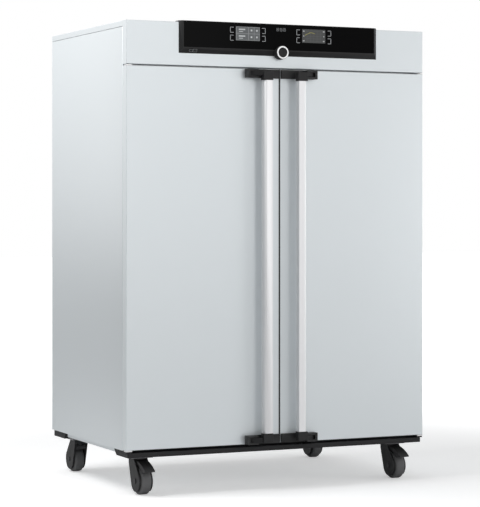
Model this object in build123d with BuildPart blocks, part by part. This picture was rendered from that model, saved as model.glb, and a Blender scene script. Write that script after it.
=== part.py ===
from build123d import *
import math
import os

# Forced air laboratory oven with two doors, on four swivel casters.
# X runs to the right, Y from front to rear and Z up from the floor, in millimetres.

# Casing
cabinet_width = 1224.0
cabinet_depth = 784.0
cabinet_top = 1713.7
casing_sheet = 1.5
bend_radius = 3.0
edge_chamfer = 1.5
slab_depth = 37.0
slot_edge = 60.0
slot_count = 5
slot_pitch = 90.0
slot_length = 70.0
slot_width = 8.0
flange_width = 20.0
lid_height = 21.3
fascia_height = 158.2
bottom_gap = 25.0
seat_gap = 0.3
fit_gap = 0.05

# Base rails
rail_setback = 5.0
rail_inset = 7.4
rail_lip_height = 18.2
rail_depth = 58.0
block_width = 132.0
block_top_reach = 137.0
block_low_reach = 113.0
underframe_height = 16.0
underframe_width = 40.0
underframe_inset = 12.0

# Casters
caster_height = 140.3
caster_x = 525.0
front_swivel_reach = 103.0
rear_swivel_reach = 72.0
wheel_radius = 50.0
tyre_width = 37.0
hub_radius = 36.0
hub_width = 34.0
hub_sides = 12
wheel_trail = 38.0
axle_radius = 6.0
axle_head_radius = 10.0
axle_head = 3.0
fork_width = 54.0
fork_slot = 41.0
fork_leg_radius = 40.0
fork_head_reach = 24.0
fork_head_height = 19.0
plate_side = 84.0
plate_thickness = 9.0
kingpin_radius = 6.0
kingnut_radius = 11.0
kingnut_height = 3.0
pedal_width = 40.0
pedal_pin_radius = 3.0
pedal_pin_reach = 32.0
pedal_pin_drop = 19.0
pedal_tip_reach = 118.0
pedal_tip_drop = 41.0
pedal_room = 9.0
pedal_bow = 6.0
pedal_slot_reach = 20.0
pedal_under_angles = (35.0, 57.0, 80.0)

# Doors
door_bottom_gap = 3.4
door_top_gap = 5.0
door_seam = 5.6
door_thickness = 34.5
inner_recess = 4.5
plug_clearance = 12.0
plug_setback = 4.0
gasket_width = 12.0
gasket_lap = 6.0
gasket_edge = 2.0
gasket_lip = 3.0
door_wool_margin = 34.0
door_wool_gap = 1.0
hinge_edge = 10.0
hinge_setback = 12.0
hinge_pin_radius = 5.0
hinge_block_side = 16.0
hinge_block_length = 26.0
hinge_plate_width = 23.0
hinge_plate_depth = 24.0
hinge_plate_thickness = 4.7
hinge_plate_inset = 1.0
hinge_top_room = 2.0
hinge_fixing_thickness = 4.0

# Door handles
handle_reach = 54.0
bar_inner_x = 54.0
bar_width = 34.0
bar_flat = 23.0
bar_depth = 24.0
bar_wall = 2.5
bar_bulge = 1.5
bar_drop = 6.0
bracket_inner_x = 4.0
bracket_outer_x = 143.0
bracket_height = 32.5
bracket_edge = 0.7
bracket_plate = 9.0
pivot_block_width = 43.0
pivot_block_depth = 31.0
pivot_x = 121.0
pivot_reach = 18.0
pivot_pin_radius = 4.0
pivot_cheek = 8.5
arm_boss_radius = 10.5
arm_root_width = 18.0
end_lap = 2.0
end_cover = 9.0

# Chamber
chamber_width = 1040.0
chamber_height = 1200.0
chamber_depth = 600.0
chamber_corner = 20.0
bottom_wall = 95.0
liner_sheet = 1.2
chamber_setback = 22.0
rib_count = 11
rib_pitch = 100.0
rib_height = 16.0
rib_depth = 8.0
rib_length = 500.0
rib_start = 30.0
rib_taper = 27.0
wool_gap = 6.0

# Air circulation
baffle_standoff = 38.0
baffle_margin = 16.0
intake_radius = 80.0
intake_slots = 10
intake_slot_length = 60.0
intake_slot_width = 16.0
outlet_slots = 7
outlet_slot_length = 70.0
outlet_slot_width = 12.0
fan_radius = 145.0
fan_depth = 24.0
fan_plate = 2.0
fan_blades = 8
fan_blade_sheet = 2.0
fan_hub_radius = 18.0
fan_shaft_radius = 6.0
fan_shaft_room = 20.0
fan_centre_height = 600.0
fan_rear_room = 8.0
motor_side = 92.0
motor_length = 62.0
motor_plate_side = 120.0
motor_plate = 4.0
motor_standoff = 30.0
standoff_side = 10.0

# Heating, sensor, shelves
heater_strip = 16.0
heater_thickness = 3.0
heater_runs = 4
heater_margin = 70.0
sensor_radius = 3.0
sensor_length = 120.0
sensor_x = 440.0
sensor_plate_side = 16.0
sensor_plate = 3.0
shelf_side_gap = 3.0
shelf_front_gap = 17.0
shelf_depth = 536.0
shelf_frame = 8.0
shelf_height = 6.0
shelf_wire = 4.0
shelf_wires = 16
shelf_ribs = (3, 7)

# Exhaust and mains inlet
exhaust_reach = 46.0
exhaust_x = 330.0
exhaust_height = 1090.0
exhaust_radius = 30.0
exhaust_wall = 2.0
exhaust_plate_side = 84.0
flap_offset = 60.0
flap_thickness = 1.5
flap_shaft_radius = 3.0
flap_crank = 14.0
gland_x = -470.0
gland_height = 1610.0
gland_thread_radius = 12.5
gland_hex = 15.0
gland_cap_hex = 12.0
gland_bore_radius = 6.5
gland_length = 26.0
gland_nut = 6.0

# Control panel
panel_width = 816.0
panel_bottom = 1600.5
panel_rise = 4.8
panel_depth = 12.0
panel_side_bevel = 13.6
panel_low_bevel = 20.0
panel_top_flange = 30.0
glass_thickness = 3.0
glass_seat = 2.6
glass_margin = 2.0
display_width = 97.0
display_height = 50.5
display_x = 136.0
display_z = 1678.5
display_thickness = 2.4
knob_z = 1613.0
knob_radius = 24.5
knob_front = 28.5
knob_length = 13.0
knob_travel = 1.5
shaft_radius = 5.0
button_x = -346.0
button_width = 13.0
button_height = 9.0
button_rise = 1.6
button_seat = 2.2
button_travel = 1.2
port_x = -361.5
port_width = 12.0
port_height = 5.0
port_depth = 4.0
board_width = 460.0
board_height = 80.0
encoder_side = 16.0
board_thickness = 1.6
board_standoff = 9.0

# Places worked out from the sizes above
side_x = cabinet_width / 2
door_face_y = handle_reach - (handle_reach + cabinet_depth + exhaust_reach) / 2
casing_front_y = door_face_y + slab_depth
casing_rear_y = door_face_y + cabinet_depth
casing_bottom = caster_height + bottom_gap
lid_seam_z = cabinet_top - lid_height
fascia_bottom = cabinet_top - fascia_height
door_top = fascia_bottom - door_top_gap
door_bottom = casing_bottom + door_bottom_gap
rail_lip_z = caster_height + rail_lip_height
rail_x = side_x - rail_inset
rail_front_y = door_face_y + rail_setback
rail_rear_y = casing_rear_y - rail_setback
inside_x = side_x - casing_sheet
frame_y = casing_front_y + casing_sheet
chamber_front_y = frame_y + casing_sheet + chamber_setback
chamber_rear_y = chamber_front_y + chamber_depth
chamber_floor_z = casing_bottom + bottom_wall
chamber_mid_z = chamber_floor_z + chamber_height / 2
panel_inner_y = casing_rear_y - 2 * casing_sheet


def block(x_span, y_span, z_span, mode=Mode.ADD):
    """A box between the given low and high places along X, Y and Z."""
    spans = (x_span, y_span, z_span)
    with Locations(tuple((low + high) / 2 for low, high in spans)):
        Box(*(high - low for low, high in spans), mode=mode)


def facing(y):
    """The upright plane at y whose sketches are seen from the front."""
    return Plane.XZ.offset(-y)


def beside(x):
    """The upright plane at x whose sketches run along Y and Z."""
    return Plane.YZ.offset(x)


def level(z):
    """The level plane at z."""
    return Plane.XY.offset(z)


def mirrored(source):
    """The same piece on the other side of the oven."""
    with BuildPart() as twin:
        mirror(source.part, about=Plane.YZ)
    return twin


pieces = {}


# Side panels: one folded sheet each, with a flange at the front and at the rear
with BuildPart() as side_panel_right:
    with BuildSketch(level(casing_bottom)) as fold:
        with BuildLine():
            Polyline(
                (side_x - flange_width, casing_front_y),
                (side_x, casing_front_y),
                (side_x, casing_rear_y),
                (side_x - flange_width, casing_rear_y),
                (side_x - flange_width, casing_rear_y - casing_sheet),
                (side_x - casing_sheet, casing_rear_y - casing_sheet),
                (side_x - casing_sheet, casing_front_y + casing_sheet),
                (side_x - flange_width, casing_front_y + casing_sheet),
                close=True,
            )
        make_face()
        fillet(fold.vertices().group_by(Axis.X)[-1], bend_radius)
    extrude(amount=lid_seam_z - casing_bottom)
pieces["side_panel_right"] = side_panel_right
pieces["side_panel_left"] = mirrored(side_panel_right)


# Top lid: a shallow folded tray turned upside down over the casing
with BuildPart() as top_lid:
    block((-side_x, side_x), (casing_front_y, casing_rear_y), (lid_seam_z, cabinet_top))
    chamfer(top_lid.faces().sort_by(Axis.Z)[-1].edges(), edge_chamfer)
    offset(amount=-casing_sheet, openings=top_lid.faces().sort_by(Axis.Z)[0])
pieces["top_lid"] = top_lid


# Fascia: the folded front above the doors, open at the back
with BuildPart() as fascia:
    block((-side_x, side_x), (door_face_y, casing_front_y), (fascia_bottom, cabinet_top))
    chamfer(fascia.faces().sort_by(Axis.Y)[0].edges(), edge_chamfer)
    offset(amount=-casing_sheet, openings=fascia.faces().sort_by(Axis.Y)[-1])
    with BuildSketch(facing(door_face_y)):
        with Locations((0, knob_z)):
            Circle(shaft_radius + seat_gap)
    extrude(amount=-casing_sheet, mode=Mode.SUBTRACT)
    with BuildSketch(level(fascia_bottom)):
        with Locations((-side_x + hinge_edge, door_face_y + hinge_setback),
                       (side_x - hinge_edge, door_face_y + hinge_setback)):
            Rectangle(2 * hinge_pin_radius + 2 * seat_gap, 2 * hinge_pin_radius + 2 * seat_gap)
    extrude(amount=casing_sheet, mode=Mode.SUBTRACT)
pieces["fascia"] = fascia


# Base pan with the pale underframe channel along each side
under_x = inside_x - underframe_inset
block_end_y = rail_front_y + block_top_reach
rear_block_end_y = rail_rear_y - block_top_reach
with BuildPart() as base_pan:
    block((-inside_x + seat_gap, inside_x - seat_gap), (frame_y + casing_sheet, panel_inner_y),
          (casing_bottom, casing_bottom + casing_sheet))
    for side in (-1, 1):
        outer = side * under_x
        inner = side * (under_x - underframe_width)
        span = (min(outer, inner), max(outer, inner))
        block(span, (block_end_y + seat_gap, rear_block_end_y - seat_gap),
              (casing_bottom - underframe_height, casing_bottom))
        block((span[0] + casing_sheet, span[1] - casing_sheet),
              (block_end_y + seat_gap, rear_block_end_y - seat_gap),
              (casing_bottom - underframe_height, casing_bottom - casing_sheet), Mode.SUBTRACT)
pieces["base_pan"] = base_pan


# Base rails: a black beam at the front and the rear, with a block at each end
front_step_y = rail_front_y + rail_depth
rear_step_y = rail_rear_y - rail_depth
block_slant = block_top_reach - block_low_reach
with BuildPart() as base_rails:
    block((-rail_x, rail_x), (rail_front_y, front_step_y), (caster_height, rail_lip_z))
    block((-rail_x, rail_x), (casing_front_y, front_step_y), (rail_lip_z, casing_bottom))
    block((-rail_x, rail_x), (rear_step_y, rail_rear_y), (caster_height, casing_bottom))
    for start_x in (-rail_x, rail_x - block_width):
        for step_y, end_y, slant in ((front_step_y, block_end_y, -block_slant),
                                     (rear_step_y, rear_block_end_y, block_slant)):
            with BuildSketch(beside(start_x)):
                with BuildLine():
                    Polyline(
                        (step_y, caster_height),
                        (step_y, casing_bottom),
                        (end_y, casing_bottom),
                        (end_y + slant, caster_height),
                        close=True,
                    )
                make_face()
            extrude(amount=block_width)
pieces["base_rails"] = base_rails


# Rear panel with its cooling slots, the exhaust hole and the gland hole
exhaust_z = chamber_floor_z + exhaust_height
with BuildPart() as rear_panel:
    block((-inside_x + seat_gap, inside_x - seat_gap), (panel_inner_y, panel_inner_y + casing_sheet),
          (casing_bottom, lid_seam_z))
    with BuildSketch(facing(panel_inner_y)):
        with Locations((exhaust_x, exhaust_z)):
            Circle(exhaust_radius + seat_gap)
        with Locations((gland_x, gland_height)):
            Circle(gland_thread_radius + seat_gap)
        for row_z in (casing_bottom + slot_edge, lid_seam_z - slot_edge):
            with Locations((0, row_z)):
                with GridLocations(slot_pitch, 1, slot_count, 1):
                    Rectangle(slot_length, slot_width)
    extrude(amount=-casing_sheet, mode=Mode.SUBTRACT)
pieces["rear_panel"] = rear_panel


# Front frame: the flat rim round the chamber mouth
with BuildPart() as front_frame:
    with BuildSketch(facing(frame_y)):
        with Locations((0, (casing_bottom + casing_sheet + fascia_bottom) / 2)):
            Rectangle(2 * (inside_x - seat_gap), fascia_bottom - casing_bottom - casing_sheet)
        with Locations((0, chamber_mid_z)):
            RectangleRounded(chamber_width, chamber_height, chamber_corner, mode=Mode.SUBTRACT)
    extrude(amount=-casing_sheet)
pieces["front_frame"] = front_frame


# Chamber liner: a rounded stainless box that starts behind the frame, with shelf ribs on its side walls
fan_z = chamber_floor_z + fan_centre_height
liner_front_y = frame_y + casing_sheet
rib_y = chamber_front_y + rib_start + rib_length / 2
first_rib_z = chamber_mid_z - rib_pitch * (rib_count - 1) / 2
with BuildPart() as chamber_liner:
    with BuildSketch(facing(liner_front_y)):
        with Locations((0, chamber_mid_z)):
            RectangleRounded(chamber_width + 2 * liner_sheet, chamber_height + 2 * liner_sheet,
                             chamber_corner + liner_sheet)
    extrude(amount=-(chamber_rear_y + liner_sheet - liner_front_y))
    with BuildSketch(facing(liner_front_y)):
        with Locations((0, chamber_mid_z)):
            RectangleRounded(chamber_width, chamber_height, chamber_corner)
    extrude(amount=-(chamber_rear_y - liner_front_y), mode=Mode.SUBTRACT)
    for side in (-1, 1):
        with BuildSketch(Plane((side * chamber_width / 2, rib_y, chamber_mid_z),
                               x_dir=(0, 1, 0), z_dir=(-side, 0, 0))):
            with GridLocations(1, rib_pitch, 1, rib_count):
                Rectangle(rib_length, rib_height)
        extrude(amount=rib_depth, taper=rib_taper)
    with BuildSketch(facing(chamber_rear_y)):
        with Locations((0, fan_z)):
            Rectangle(fan_shaft_room, fan_shaft_room)
        with Locations((exhaust_x, exhaust_z)):
            Circle(exhaust_radius + seat_gap)
    extrude(amount=-liner_sheet, mode=Mode.SUBTRACT)
pieces["chamber_liner"] = chamber_liner


# Mineral wool round the liner, with pockets for the motor and the exhaust flap
exhaust_flap_y = casing_rear_y - flap_offset
wool_x = chamber_width / 2 + liner_sheet + wool_gap
wool_z = chamber_height / 2 + liner_sheet + wool_gap
wool_back_y = chamber_rear_y + liner_sheet + wool_gap
motor_room = motor_plate_side / 2 + wool_gap
pipe_room = exhaust_radius + wool_gap
with BuildPart() as cabinet_insulation:
    block((-inside_x + wool_gap, inside_x - wool_gap),
          (frame_y + casing_sheet + seat_gap, panel_inner_y - wool_gap),
          (casing_bottom + casing_sheet + seat_gap, fascia_bottom - seat_gap))
    block((-wool_x, wool_x), (frame_y, wool_back_y), (chamber_mid_z - wool_z, chamber_mid_z + wool_z),
          Mode.SUBTRACT)
    block((-motor_room, motor_room), (chamber_rear_y, casing_rear_y),
          (fan_z - motor_room, fan_z + motor_room), Mode.SUBTRACT)
    block((exhaust_x - pipe_room - flap_crank, exhaust_x + pipe_room), (chamber_rear_y, casing_rear_y),
          (exhaust_z - pipe_room, exhaust_z + pipe_room + flap_crank), Mode.SUBTRACT)
pieces["cabinet_insulation"] = cabinet_insulation


# Fan baffle: a tray in front of the rear wall, with a ring of intake slots and outlet slots at its sides
baffle_y = chamber_rear_y - baffle_standoff
baffle_x = chamber_width / 2 - baffle_margin
baffle_z = chamber_height / 2 - baffle_margin
with BuildPart() as fan_baffle:
    block((-baffle_x, baffle_x), (baffle_y, chamber_rear_y),
          (chamber_mid_z - baffle_z, chamber_mid_z + baffle_z))
    block((-baffle_x + liner_sheet, baffle_x - liner_sheet), (baffle_y + liner_sheet, chamber_rear_y),
          (chamber_mid_z - baffle_z + liner_sheet, chamber_mid_z + baffle_z - liner_sheet), Mode.SUBTRACT)
    with BuildSketch(facing(baffle_y)):
        with Locations((0, fan_z)):
            with PolarLocations(intake_radius, intake_slots):
                Rectangle(intake_slot_length, intake_slot_width)
        outlet_x = baffle_x - outlet_slot_length
        with Locations((-outlet_x, chamber_mid_z), (outlet_x, chamber_mid_z)):
            with GridLocations(1, 2 * baffle_z / (outlet_slots + 1), 1, outlet_slots):
                Rectangle(outlet_slot_length, outlet_slot_width)
    extrude(amount=-liner_sheet, mode=Mode.SUBTRACT)
pieces["fan_baffle"] = fan_baffle


# Fan impeller: bent blades on a back plate, with a hexagonal hub and the motor shaft
motor_front_y = chamber_rear_y + liner_sheet + motor_standoff
fan_back_y = chamber_rear_y - fan_rear_room
with BuildSketch() as blade:
    with BuildLine():
        Polyline((fan_radius * 0.38, 0), (fan_radius * 0.68, fan_radius * 0.11), (fan_radius * 0.93, fan_radius * 0.3))
    trace(line_width=fan_blade_sheet)
with BuildPart() as fan_impeller:
    with BuildSketch(facing(fan_back_y)):
        with Locations((0, fan_z)):
            Circle(fan_radius)
    extrude(amount=fan_plate)
    with BuildSketch(facing(fan_back_y)):
        with Locations((0, fan_z)):
            with PolarLocations(0, fan_blades):
                add(blade.sketch)
    extrude(amount=fan_plate + fan_depth)
    with BuildSketch(facing(fan_back_y)):
        with Locations((0, fan_z)):
            RegularPolygon(fan_hub_radius, 6)
    extrude(amount=fan_plate + fan_depth)
    with BuildSketch(facing(fan_back_y)):
        with Locations((0, fan_z)):
            Circle(fan_shaft_radius)
    extrude(amount=-(motor_front_y + motor_length / 2 - fan_back_y))
pieces["fan_impeller"] = fan_impeller


# Fan motor: a square stator on a square plate, on four standoffs fixed to the liner's rear wall
with BuildPart() as fan_motor:
    with BuildSketch(facing(motor_front_y)):
        with Locations((0, fan_z)):
            Rectangle(motor_plate_side, motor_plate_side)
    extrude(amount=-motor_plate)
    with BuildSketch(facing(motor_front_y)):
        with Locations((0, fan_z)):
            Rectangle(motor_side, motor_side)
    extrude(amount=-motor_length)
    with BuildSketch(facing(motor_front_y)):
        with Locations((0, fan_z)):
            with GridLocations(motor_plate_side - standoff_side, motor_plate_side - standoff_side, 2, 2):
                Rectangle(standoff_side, standoff_side)
    extrude(amount=motor_standoff)
    with BuildSketch(facing(motor_front_y)):
        with Locations((0, fan_z)):
            Circle(fan_shaft_radius + fit_gap)
    extrude(amount=-(motor_length / 2 + seat_gap), mode=Mode.SUBTRACT)
pieces["fan_motor"] = fan_motor


# Heating elements: a flat winding strip on the outside of the liner's sides, floor and ceiling
def heater_loop(length, height):
    """One strip that runs to and fro over a field of the given length and height."""
    pitch = height / (heater_runs - 1)
    with BuildSketch() as loop:
        for run in range(heater_runs):
            run_y = -height / 2 + run * pitch
            with Locations((0, run_y)):
                Rectangle(length, heater_strip)
            if run < heater_runs - 1:
                end_x = (length - heater_strip) / 2 * (1 if run % 2 else -1)
                with Locations((end_x, run_y + pitch / 2)):
                    Rectangle(heater_strip, pitch)
    return loop


heater_length = chamber_depth - 2 * heater_margin
heater_mid_y = chamber_front_y + chamber_depth / 2
side_loop = heater_loop(heater_length, chamber_height - 2 * heater_margin)
flat_loop = heater_loop(chamber_width - 2 * heater_margin, heater_length)
with BuildPart() as heating_elements:
    for side in (-1, 1):
        heater_x = side * (chamber_width / 2 + liner_sheet)
        with BuildSketch(Plane((heater_x, heater_mid_y, chamber_mid_z), x_dir=(0, 1, 0), z_dir=(side, 0, 0))):
            add(side_loop.sketch)
        extrude(amount=heater_thickness)
        heater_z = chamber_mid_z + side * (chamber_height / 2 + liner_sheet)
        with BuildSketch(Plane((0, heater_mid_y, heater_z), x_dir=(1, 0, 0), z_dir=(0, 0, side))):
            add(flat_loop.sketch)
        extrude(amount=heater_thickness)
pieces["heating_elements"] = heating_elements


# Temperature sensor: a thin probe that hangs from the ceiling in front of the baffle
chamber_ceiling_z = chamber_floor_z + chamber_height
sensor_y = baffle_y - sensor_plate_side / 2 - wool_gap
with BuildPart() as temperature_sensor:
    block((sensor_x - sensor_plate_side / 2, sensor_x + sensor_plate_side / 2),
          (sensor_y - sensor_plate_side / 2, sensor_y + sensor_plate_side / 2),
          (chamber_ceiling_z - sensor_plate, chamber_ceiling_z))
    with BuildSketch(level(chamber_ceiling_z)):
        with Locations((sensor_x, sensor_y)):
            Circle(sensor_radius)
    extrude(amount=-sensor_length)
pieces["temperature_sensor"] = temperature_sensor


# Wire shelves: a square frame with wires across it, resting on a pair of ribs
shelf_x = chamber_width / 2 - shelf_side_gap
shelf_front_y = chamber_front_y - plug_setback + shelf_front_gap
rib_hold = rib_height / 2 - shelf_side_gap * math.tan(math.radians(rib_taper)) + seat_gap
for name, rib in (("lower_shelf", shelf_ribs[0]), ("upper_shelf", shelf_ribs[1])):
    shelf_z = first_rib_z + rib * rib_pitch + rib_hold
    with BuildPart() as shelf:
        with BuildSketch(level(shelf_z)):
            with Locations((0, shelf_front_y + shelf_depth / 2)):
                Rectangle(2 * shelf_x, shelf_depth)
                Rectangle(2 * (shelf_x - shelf_frame), shelf_depth - 2 * shelf_frame, mode=Mode.SUBTRACT)
                with GridLocations(2 * shelf_x / (shelf_wires + 1), 1, shelf_wires, 1):
                    Rectangle(shelf_wire, shelf_depth)
        extrude(amount=shelf_height)
    pieces[name] = shelf


# Exhaust pipe from the liner through the rear panel, and the flap on an upright shaft inside it
with BuildPart() as exhaust_pipe:
    with BuildSketch(facing(chamber_rear_y)):
        with Locations((exhaust_x, exhaust_z)):
            Circle(exhaust_radius)
            Circle(exhaust_radius - exhaust_wall, mode=Mode.SUBTRACT)
    extrude(amount=-(casing_rear_y + exhaust_reach - chamber_rear_y))
    with BuildSketch(facing(panel_inner_y + casing_sheet)):
        with Locations((exhaust_x, exhaust_z)):
            Rectangle(exhaust_plate_side, exhaust_plate_side)
            Circle(exhaust_radius - exhaust_wall, mode=Mode.SUBTRACT)
    extrude(amount=-casing_sheet)
    with BuildSketch(level(exhaust_z)):
        with Locations((exhaust_x, exhaust_flap_y)):
            Circle(flap_shaft_radius + fit_gap)
    extrude(amount=exhaust_radius, mode=Mode.SUBTRACT)
pieces["exhaust_pipe"] = exhaust_pipe

flap_radius = exhaust_radius - exhaust_wall - 2 * seat_gap
crank_z = exhaust_z + exhaust_radius + seat_gap
with BuildPart() as exhaust_flap:
    with BuildSketch(facing(exhaust_flap_y + flap_thickness / 2)):
        with Locations((exhaust_x, exhaust_z)):
            Circle(flap_radius)
    extrude(amount=flap_thickness)
    with BuildSketch(level(exhaust_z + flap_radius - flap_crank)):
        with Locations((exhaust_x, exhaust_flap_y)):
            Circle(flap_shaft_radius)
    extrude(amount=crank_z - exhaust_z - flap_radius + flap_crank)
    block((exhaust_x - flap_crank, exhaust_x + flap_shaft_radius),
          (exhaust_flap_y - flap_shaft_radius, exhaust_flap_y + flap_shaft_radius),
          (crank_z, crank_z + 2 * flap_thickness))
pieces["exhaust_flap"] = exhaust_flap


# Mains inlet gland: two hexagons outside the rear panel and a lock nut inside it
gland_face_y = panel_inner_y + casing_sheet
with BuildPart() as mains_gland:
    with BuildSketch(facing(panel_inner_y)):
        with Locations((gland_x, gland_height)):
            Circle(gland_thread_radius)
    extrude(amount=-casing_sheet)
    for start_y, across, length in ((panel_inner_y - gland_nut, gland_hex, gland_nut),
                                    (gland_face_y, gland_hex, gland_nut),
                                    (gland_face_y + gland_nut, gland_cap_hex, gland_length - gland_nut)):
        with BuildSketch(facing(start_y)):
            with Locations((gland_x, gland_height)):
                RegularPolygon(across, 6, major_radius=False)
        extrude(amount=-length)
    with BuildSketch(facing(panel_inner_y - gland_nut)):
        with Locations((gland_x, gland_height)):
            Circle(gland_bore_radius)
    extrude(amount=-(gland_nut + casing_sheet + gland_length), mode=Mode.SUBTRACT)
pieces["mains_gland"] = mains_gland


# Doors, modelled on the right and mirrored to the left
hinge_x = side_x - hinge_edge
hinge_y = door_face_y + hinge_setback
hinge_room = hinge_block_side / 2 + fit_gap
door_inner_x = door_seam / 2
door_back_y = door_face_y + door_thickness
inner_face_y = door_back_y - inner_recess
plug_y = chamber_front_y - plug_setback
gasket_centre_x = door_inner_x + casing_sheet + gasket_edge
gasket_outer_x = chamber_width / 2 + gasket_lap + gasket_width
gasket_mid_x = (gasket_centre_x + gasket_outer_x) / 2
gasket_half_z = chamber_height / 2 + gasket_lap + gasket_width

with BuildPart() as door_skin:
    block((door_inner_x, side_x), (door_face_y, door_back_y), (door_bottom, door_top))
    chamfer(door_skin.faces().sort_by(Axis.Y)[0].edges(), edge_chamfer)
    offset(amount=-casing_sheet, openings=door_skin.faces().sort_by(Axis.Y)[-1])
    block((hinge_x - hinge_room, hinge_x + hinge_room), (hinge_y - hinge_room, hinge_y + hinge_room),
          (door_bottom, door_top), Mode.SUBTRACT)
pieces["right_door_skin"] = door_skin

with BuildPart() as door_inner_panel:
    block((door_inner_x + casing_sheet + fit_gap, side_x - casing_sheet - fit_gap),
          (inner_face_y - casing_sheet, inner_face_y),
          (door_bottom + casing_sheet + fit_gap, door_top - casing_sheet - fit_gap))
    plug_x_span = (gasket_centre_x + gasket_width + seat_gap, chamber_width / 2 - plug_clearance)
    plug_z_span = (chamber_floor_z + plug_clearance, chamber_ceiling_z - plug_clearance)
    block(plug_x_span, (inner_face_y - casing_sheet, plug_y), plug_z_span)
    chamfer(door_inner_panel.faces().sort_by(Axis.Y)[-1].edges(), edge_chamfer)
    block((plug_x_span[0] + casing_sheet, plug_x_span[1] - casing_sheet),
          (inner_face_y - casing_sheet, plug_y - casing_sheet),
          (plug_z_span[0] + casing_sheet, plug_z_span[1] - casing_sheet), Mode.SUBTRACT)
pieces["right_door_inner_panel"] = door_inner_panel

with BuildPart() as door_insulation:
    block((door_inner_x + casing_sheet + door_wool_gap, side_x - door_wool_margin),
          (door_face_y + casing_sheet + door_wool_gap, inner_face_y - casing_sheet - door_wool_gap),
          (door_bottom + casing_sheet + door_wool_gap, door_top - casing_sheet - door_wool_gap))
pieces["right_door_insulation"] = door_insulation

with BuildPart() as door_gasket:
    with BuildSketch(facing(inner_face_y)):
        with Locations((gasket_mid_x, chamber_mid_z)):
            Rectangle(gasket_outer_x - gasket_centre_x, 2 * gasket_half_z)
            Rectangle(gasket_outer_x - gasket_centre_x - 2 * gasket_width,
                      2 * (gasket_half_z - gasket_width), mode=Mode.SUBTRACT)
    extrude(amount=-(frame_y - seat_gap - inner_face_y))
    chamfer(door_gasket.faces().sort_by(Axis.Y)[-1].outer_wire().edges(), gasket_lip)
pieces["right_door_gasket"] = door_gasket

hinge_plate_x = (side_x - fit_gap - hinge_plate_width, side_x - fit_gap)
hinge_plate_y = (door_face_y + hinge_plate_inset, door_face_y + hinge_plate_inset + hinge_plate_depth)
top_plate = door_top_gap - hinge_top_room
with BuildPart() as door_hinges:
    for outer_z, way, thickness in ((door_bottom, 1, hinge_plate_thickness), (door_top, -1, top_plate)):
        plate_z = outer_z - way * thickness
        inner_z = outer_z + way * hinge_block_length
        block(hinge_plate_x, hinge_plate_y, (min(plate_z, outer_z), max(plate_z, outer_z)))
        block((hinge_x - hinge_block_side / 2, hinge_x + hinge_block_side / 2),
              (hinge_y - hinge_block_side / 2, hinge_y + hinge_block_side / 2),
              (min(outer_z, inner_z), max(outer_z, inner_z)))
        with BuildSketch(level(plate_z)):
            with Locations((hinge_x, hinge_y)):
                Circle(hinge_pin_radius + fit_gap)
        extrude(amount=inner_z - plate_z, mode=Mode.SUBTRACT)
pieces["right_door_hinges"] = door_hinges

# Hinge pins: plates on the front rail and inside the fascia, each with its pin
fixing_top_z = door_bottom - hinge_plate_thickness - seat_gap
inner_plate_x = (inside_x - bend_radius - hinge_plate_width, inside_x - bend_radius)
inner_plate_front = door_face_y + casing_sheet + bend_radius
inner_plate_y = (inner_plate_front, inner_plate_front + hinge_plate_depth)
with BuildPart() as right_hinge_pins:
    block(hinge_plate_x, (rail_front_y, casing_front_y), (rail_lip_z, fixing_top_z))
    block(inner_plate_x, inner_plate_y,
          (fascia_bottom + casing_sheet, fascia_bottom + casing_sheet + hinge_fixing_thickness))
    for start_z, end_z in (
        (rail_lip_z, door_bottom + hinge_block_length - bend_radius),
        (door_top - hinge_block_length + bend_radius, fascia_bottom + casing_sheet + hinge_fixing_thickness),
    ):
        with BuildSketch(level(start_z)):
            with Locations((hinge_x, hinge_y)):
                Circle(hinge_pin_radius)
        extrude(amount=end_z - start_z)
with BuildPart() as hinge_pins:
    add(right_hinge_pins.part)
    mirror(right_hinge_pins.part, about=Plane.YZ)
pieces["hinge_pins"] = hinge_pins


# Door handles: brackets on the door, and an aluminium bar between two ends that swing on upright pins
handle_front_y = door_face_y - handle_reach
pivot_y = door_face_y - pivot_reach
bracket_spans = (
    (door_bottom + bracket_edge, door_bottom + bracket_edge + bracket_height),
    (door_top - bracket_edge - bracket_height, door_top - bracket_edge),
)
bar_low_z = bracket_spans[0][1] + end_cover
bar_high_z = bracket_spans[1][0] - end_cover
with BuildPart() as handle_brackets:
    for low_z, high_z in bracket_spans:
        block((bracket_inner_x, bracket_outer_x), (door_face_y - bracket_plate, door_face_y), (low_z, high_z))
        block((bracket_outer_x - pivot_block_width, bracket_outer_x),
              (door_face_y - pivot_block_depth, door_face_y), (low_z, high_z))
        block((bracket_outer_x - pivot_block_width, pivot_x + arm_boss_radius + 2 * seat_gap),
              (door_face_y - pivot_block_depth, pivot_y + arm_boss_radius + 2 * seat_gap),
              (low_z + pivot_cheek, high_z - pivot_cheek), Mode.SUBTRACT)
        with BuildSketch(level(low_z)):
            with Locations((pivot_x, pivot_y)):
                Circle(pivot_pin_radius)
        extrude(amount=high_z - low_z)
pieces["right_handle_brackets"] = handle_brackets

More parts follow.
